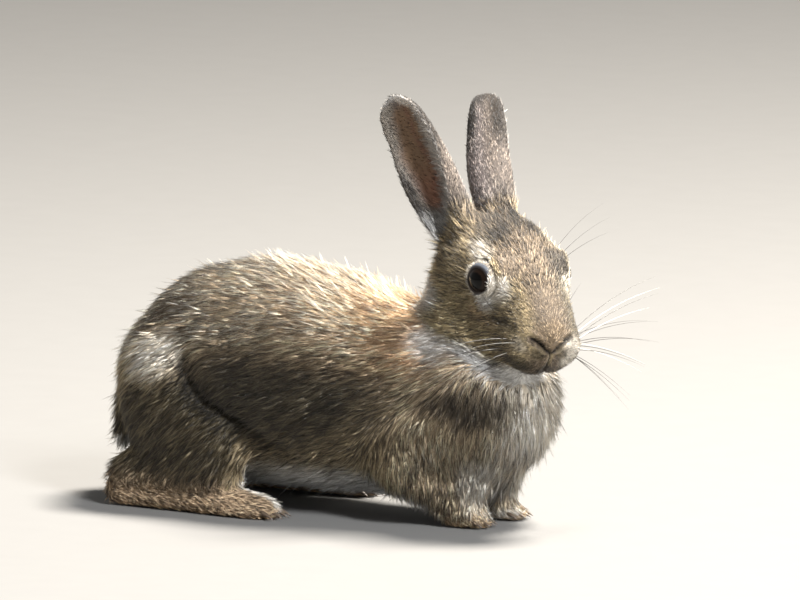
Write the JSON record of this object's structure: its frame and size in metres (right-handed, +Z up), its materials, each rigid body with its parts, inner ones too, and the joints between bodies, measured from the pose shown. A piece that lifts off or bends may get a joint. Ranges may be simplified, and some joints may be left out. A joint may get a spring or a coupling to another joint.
{
  "type": "rabbit",
  "caption": "Life-size young European rabbit crouching on all fours, head turned to its right, ears raised: a still model with a full agouti coat.",
  "frame": {"origin": "middle of the footprint, on the floor", "axes": "+X towards the chest, along the body; +Y towards the rabbit's left side; +Z up"},
  "size_m": [0.2506, 0.1042, 0.1895],
  "materials": {
    "agouti_coat": "short soft fur, ticked tan and black",
    "ear_coat": "very short fine fur over thin skin",
    "eye": "wet gloss, nearly black brown"
  },
  "bodies": {
    "root": {"trunk": "agouti_coat", "neck": "agouti_coat", "head": "agouti_coat", "tail": "agouti_coat", "thigh_left": "agouti_coat", "thigh_right": "agouti_coat", "hind_foot_left": "agouti_coat", "hind_foot_right": "agouti_coat", "foreleg_left": "agouti_coat", "foreleg_right": "agouti_coat", "forepaw_left": "agouti_coat", "forepaw_right": "agouti_coat", "ear_left": "ear_coat", "ear_right": "ear_coat", "eye_left": "eye", "eye_right": "eye"}
  },
  "joints": []
}
